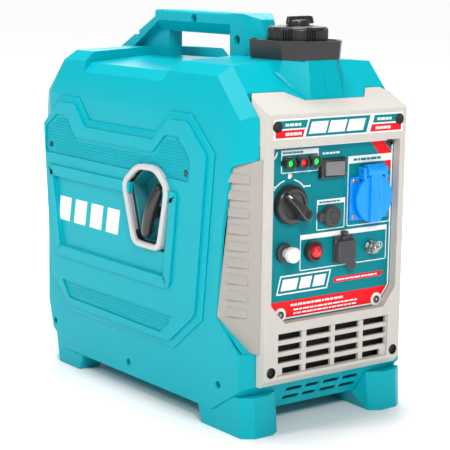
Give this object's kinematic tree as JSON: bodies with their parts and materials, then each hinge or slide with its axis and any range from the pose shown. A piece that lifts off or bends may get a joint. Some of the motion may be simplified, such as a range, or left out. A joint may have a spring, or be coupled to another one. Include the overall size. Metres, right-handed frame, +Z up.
{
  "type": "portable generator",
  "caption": "Suitcase-style portable inverter generator with carrying handle, control panel, recoil starter, engine and alternator inside.",
  "frame": {"origin": "on the ground under the middle of the machine", "axes": "+Z up, +X to the right of someone facing the control panel, the control panel faces -Y"},
  "size_m": [0.2397, 0.4258, 0.4204],
  "materials": {
    "casing": "satin",
    "bezel_plastic": "satin",
    "louvre_plastic": "fine texture",
    "panel_plastic": "satin",
    "black_plastic": "satin",
    "grey_plastic": "satin",
    "silver_plastic": "satin",
    "white_plastic": "gloss",
    "red_plastic": "gloss",
    "blue_plastic": "satin",
    "green_lens": "gloss",
    "red_lens": "gloss",
    "rubber": "matte",
    "steel": "brushed",
    "cast_aluminium": "as cast",
    "tank_plastic": "satin",
    "rope": "braided"
  },
  "bodies": {
    "root": {"left_shell": "casing", "right_shell": "casing", "left_service_cover": "casing", "right_service_cover": "casing", "foot_front_left": "casing", "foot_front_right": "casing", "foot_rear_left": "casing", "foot_rear_right": "casing", "base_tray": "black_plastic", "front_bezel": "bezel_plastic", "control_panel": "panel_plastic", "left_louvre_panel": "louvre_plastic", "right_louvre_panel": "louvre_plastic", "rear_cover": "black_plastic", "fuel_collar": "black_plastic", "fuel_tank": "tank_plastic", "status_lamp_1": "green_lens", "status_lamp_2": "red_lens", "status_lamp_3": "green_lens", "rocker_housing": "black_plastic", "push_knob_base": "black_plastic", "button_collar": "black_plastic", "ac_flange": "blue_plastic", "ac_hinge_pin": "steel", "dc_socket": "rubber", "usb_socket": "rubber", "ground_terminal": "steel", "starter_bezel": "silver_plastic", "starter_well": "panel_plastic", "fan_shroud": "black_plastic", "stator": "steel", "ignition_coil": "black_plastic", "crankcase": "cast_aluminium", "cylinder_block": "cast_aluminium", "spark_plug": "white_plastic", "carburettor": "cast_aluminium", "air_filter_box": "black_plastic", "muffler": "steel", "exhaust_outlet": "steel", "inverter_module": "cast_aluminium", "engine_mount_1": "rubber", "engine_mount_2": "rubber", "engine_mount_3": "rubber", "engine_mount_4": "rubber"},
    "fuel_cap": {"fuel_cap": "black_plastic"},
    "vent_knob": {"vent_knob": "black_plastic"},
    "engine_dial": {"engine_dial": "black_plastic"},
    "rocker_switch": {"rocker_switch": "grey_plastic"},
    "push_knob": {"push_knob": "white_plastic"},
    "red_button": {"red_button": "red_plastic"},
    "ac_flap": {"ac_flap": "blue_plastic"},
    "dc_cover": {"dc_cover": "rubber"},
    "usb_cover": {"usb_cover": "rubber"},
    "starter_grip": {"starter_grip": "black_plastic", "starter_rope": "rope"},
    "starter_pulley": {"starter_pulley": "black_plastic"},
    "crankshaft": {"crankshaft": "steel", "rotor": "steel", "cooling_fan": "black_plastic"},
    "oil_cap": {"oil_cap": "black_plastic"}
  },
  "joints": [
    {"name": "fuel_cap_lift", "type": "slide", "parent": "root", "child": "fuel_cap", "axis": [0, 0, 1], "range_m": [0, 0.06]},
    {"name": "vent_knob_turn", "type": "hinge", "parent": "fuel_cap", "child": "vent_knob", "pos_m": [0, -0.13, 0.412], "axis": [0, 0, -1], "range_deg": [0, 90]},
    {"name": "engine_dial_turn", "type": "hinge", "parent": "root", "child": "engine_dial", "pos_m": [-0.057, -0.1903, 0.236], "axis": [0, 1, 0], "range_deg": [0, 90]},
    {"name": "rocker_tilt", "type": "hinge", "parent": "root", "child": "rocker_switch", "pos_m": [-0.002, -0.1918, 0.269], "axis": [0, 0, 1], "range_deg": [0, 12]},
    {"name": "push_knob_press", "type": "slide", "parent": "root", "child": "push_knob", "axis": [0, 1, 0], "range_m": [0, 0.004], "stiffness_N_per_m": 800, "springref_m": -0.002},
    {"name": "red_button_press", "type": "slide", "parent": "root", "child": "red_button", "axis": [0, 1, 0], "range_m": [0, 0.003], "stiffness_N_per_m": 800, "springref_m": -0.002},
    {"name": "ac_flap_hinge", "type": "hinge", "parent": "root", "child": "ac_flap", "pos_m": [0.05, -0.1993, 0.2642], "axis": [-1, 0, 0], "range_deg": [0, 100], "stiffness_Nm_per_rad": 0.02, "springref_deg": -17.19},
    {"name": "dc_cover_hinge", "type": "hinge", "parent": "root", "child": "dc_cover", "pos_m": [-0.0201, -0.1936, 0.22], "axis": [0, 0, -1], "range_deg": [0, 110]},
    {"name": "usb_cover_hinge", "type": "hinge", "parent": "root", "child": "usb_cover", "pos_m": [0.0157, -0.1936, 0.198], "axis": [-1, 0, 0], "range_deg": [0, 95]},
    {"name": "starter_pull", "type": "slide", "parent": "root", "child": "starter_grip", "axis": [-1, 0, 0], "range_m": [0, 0.5], "stiffness_N_per_m": 20, "springref_m": -0.3},
    {"name": "pulley_spin", "type": "hinge", "parent": "root", "child": "starter_pulley", "pos_m": [-0.084, 0.005, 0.178], "axis": [1, 0, 0], "range_deg": [0, 600]},
    {"name": "crank_spin", "type": "hinge", "parent": "root", "child": "crankshaft", "pos_m": [0, 0.005, 0.178], "axis": [1, 0, 0], "continuous": true},
    {"name": "oil_cap_turn", "type": "hinge", "parent": "root", "child": "oil_cap", "pos_m": [0.04, -0.046, 0.112], "axis": [0, -1, 0], "range_deg": [0, 360]}
  ],
  "couplings": [
    {"joint": "pulley_spin", "follows": "starter_pull", "rad_per_m": 20.367}
  ]
}
